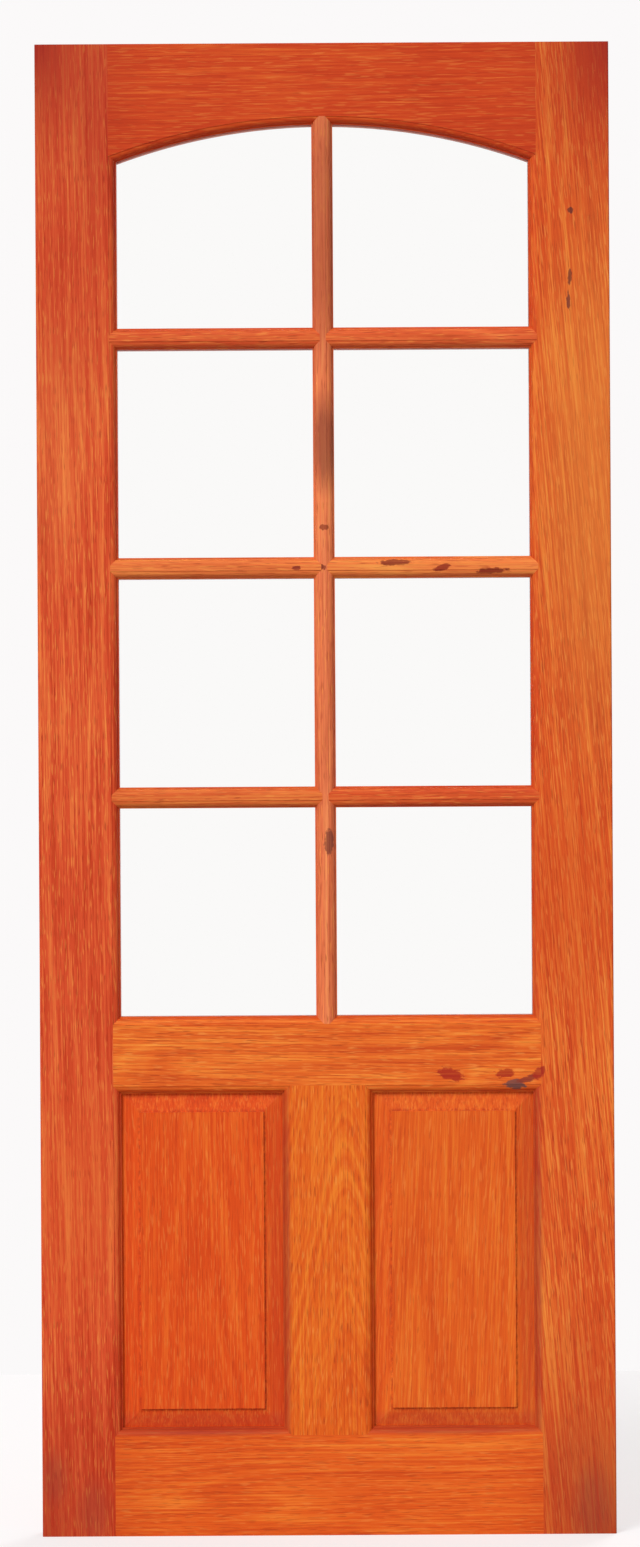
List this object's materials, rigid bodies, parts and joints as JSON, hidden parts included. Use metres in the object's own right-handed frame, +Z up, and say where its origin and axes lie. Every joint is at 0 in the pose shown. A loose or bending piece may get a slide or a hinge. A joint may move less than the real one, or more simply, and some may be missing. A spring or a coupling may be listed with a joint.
{
  "type": "panelled door leaf",
  "caption": "Hardwood front door leaf with an arched top rail, glazed lights between slender moulded bars, and raised and fielded lower panels beside a muntin.",
  "frame": {"origin": "middle of the leaf's bottom edge, half way through its thickness", "axes": "+X across the leaf to the right seen from outside, +Y through it to the inside face, +Z up"},
  "size_m": [0.762, 0.044, 1.981],
  "materials": {
    "stile_wood": "satin varnish over an orange red stain, open grain",
    "rail_wood": "satin varnish over an orange red stain, open grain",
    "panel_wood": "satin varnish over an orange red stain, open grain",
    "bar_wood": "satin varnish over an orange red stain, open grain",
    "bead_wood": "satin varnish over an orange red stain, open grain",
    "dowel_wood": "plain beech, hidden in the joints",
    "glass": "clear float glass"
  },
  "bodies": {
    "root": {"left_stile": "stile_wood", "right_stile": "stile_wood", "top_rail": "rail_wood", "lock_rail": "rail_wood", "bottom_rail": "rail_wood", "muntin": "rail_wood", "left_panel": "panel_wood", "right_panel": "panel_wood", "centre_bar": "bar_wood", "cross_bar_1_left": "bar_wood", "cross_bar_1_right": "bar_wood", "cross_bar_2_left": "bar_wood", "cross_bar_2_right": "bar_wood", "cross_bar_3_left": "bar_wood", "cross_bar_3_right": "bar_wood", "pane_1_left": "glass", "pane_1_right": "glass", "pane_2_left": "glass", "pane_2_right": "glass", "pane_3_left": "glass", "pane_3_right": "glass", "pane_4_left": "glass", "pane_4_right": "glass", "bead_1_left_bottom": "bead_wood", "bead_1_left_inner": "bead_wood", "bead_1_left_top": "bead_wood", "bead_1_left_outer": "bead_wood", "bead_1_right_bottom": "bead_wood", "bead_1_right_inner": "bead_wood", "bead_1_right_top": "bead_wood", "bead_1_right_outer": "bead_wood", "bead_2_left_bottom": "bead_wood", "bead_2_left_inner": "bead_wood", "bead_2_left_top": "bead_wood", "bead_2_left_outer": "bead_wood", "bead_2_right_bottom": "bead_wood", "bead_2_right_inner": "bead_wood", "bead_2_right_top": "bead_wood", "bead_2_right_outer": "bead_wood", "bead_3_left_bottom": "bead_wood", "bead_3_left_inner": "bead_wood", "bead_3_left_top": "bead_wood", "bead_3_left_outer": "bead_wood", "bead_3_right_bottom": "bead_wood", "bead_3_right_inner": "bead_wood", "bead_3_right_top": "bead_wood", "bead_3_right_outer": "bead_wood", "bead_4_left_bottom": "bead_wood", "bead_4_left_inner": "bead_wood", "bead_4_left_top": "bead_wood", "bead_4_left_outer": "bead_wood", "bead_4_right_bottom": "bead_wood", "bead_4_right_inner": "bead_wood", "bead_4_right_top": "bead_wood", "bead_4_right_outer": "bead_wood", "top_rail_dowels": "dowel_wood", "lock_rail_dowels": "dowel_wood", "bottom_rail_dowels": "dowel_wood", "muntin_dowels": "dowel_wood"}
  },
  "joints": []
}
